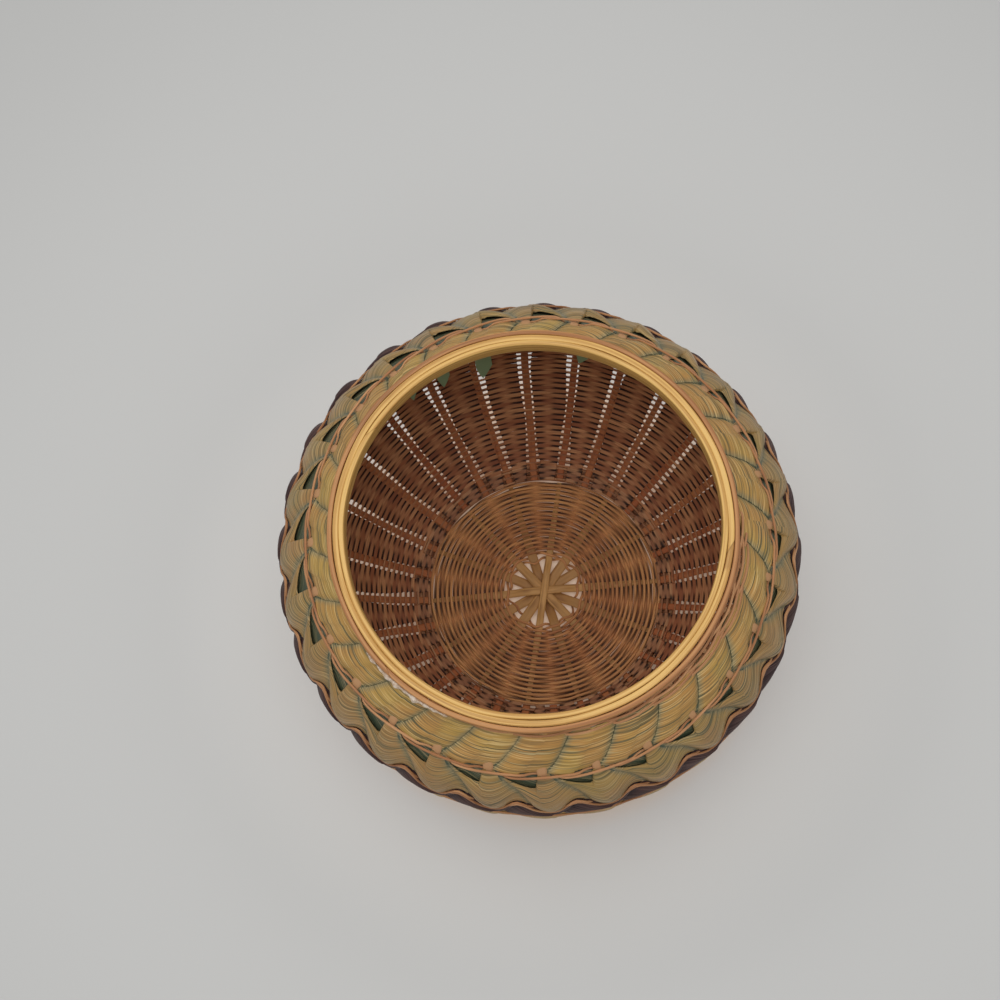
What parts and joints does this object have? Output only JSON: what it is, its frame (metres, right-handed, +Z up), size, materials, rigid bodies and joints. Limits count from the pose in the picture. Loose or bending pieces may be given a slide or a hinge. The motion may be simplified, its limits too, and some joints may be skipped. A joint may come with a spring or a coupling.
{
  "type": "woven basket",
  "caption": "Round open basket of split bamboo with a bellied wall of twined wide strips, a fine woven bowl and base, and a hooped rim, for holding onions and other kitchen produce.",
  "frame": {"origin": "on the floor under the foot, on the basket's axis", "axes": "+Z up along the basket's axis, +X along the first base stick"},
  "size_m": [0.2513, 0.2513, 0.1635],
  "materials": {
    "golden_bamboo": "split bamboo, pale gold, lightly polished",
    "tan_bamboo": "thin split bamboo, tan",
    "olive_bamboo": "wide split bamboo, dyed green and faded to olive yellow",
    "purple_bamboo": "wide split bamboo, dyed dark purple",
    "red_brown_bamboo": "flat bamboo stakes, red brown",
    "brown_bamboo": "thin round bamboo strands, brown",
    "base_bamboo": "thin round bamboo strands, light brown",
    "stick_bamboo": "flat bamboo sticks, brown yellow"
  },
  "bodies": {
    "root": {"base_stick_1": "stick_bamboo", "base_stick_2": "stick_bamboo", "base_stick_3": "stick_bamboo", "base_stick_4": "stick_bamboo", "base_stick_5": "stick_bamboo", "base_stick_6": "stick_bamboo", "base_stick_7": "stick_bamboo", "base_weave": "base_bamboo", "foot_wale": "brown_bamboo", "neck_weave": "tan_bamboo", "rim_filler_hoop": "golden_bamboo", "rim_inner_hoop": "golden_bamboo", "rim_outer_hoop": "tan_bamboo", "side_stake_01": "red_brown_bamboo", "side_stake_02": "red_brown_bamboo", "side_stake_03": "red_brown_bamboo", "side_stake_04": "red_brown_bamboo", "side_stake_05": "red_brown_bamboo", "side_stake_06": "red_brown_bamboo", "side_stake_07": "red_brown_bamboo", "side_stake_08": "red_brown_bamboo", "side_stake_09": "red_brown_bamboo", "side_stake_10": "red_brown_bamboo", "side_stake_11": "red_brown_bamboo", "side_stake_12": "red_brown_bamboo", "side_stake_13": "red_brown_bamboo", "side_stake_14": "red_brown_bamboo", "side_stake_15": "red_brown_bamboo", "side_stake_16": "red_brown_bamboo", "side_stake_17": "red_brown_bamboo", "side_stake_18": "red_brown_bamboo", "side_stake_19": "red_brown_bamboo", "side_stake_20": "red_brown_bamboo", "side_stake_21": "red_brown_bamboo", "side_stake_22": "red_brown_bamboo", "side_stake_23": "red_brown_bamboo", "side_stake_24": "red_brown_bamboo", "side_stake_25": "red_brown_bamboo", "side_stake_26": "red_brown_bamboo", "side_stake_27": "red_brown_bamboo", "side_stake_28": "red_brown_bamboo", "strip_row_1_a": "olive_bamboo", "strip_row_1_b": "olive_bamboo", "strip_row_2_a": "olive_bamboo", "strip_row_2_b": "olive_bamboo", "strip_row_3_a": "purple_bamboo", "strip_row_3_b": "purple_bamboo", "strip_row_4_a": "olive_bamboo", "strip_row_4_b": "olive_bamboo", "strip_row_5_a": "olive_bamboo", "strip_row_5_b": "olive_bamboo", "twine_band_1": "tan_bamboo", "twine_band_2": "tan_bamboo", "twine_band_3": "tan_bamboo", "twine_band_4": "tan_bamboo", "wall_weave": "brown_bamboo"}
  },
  "joints": []
}
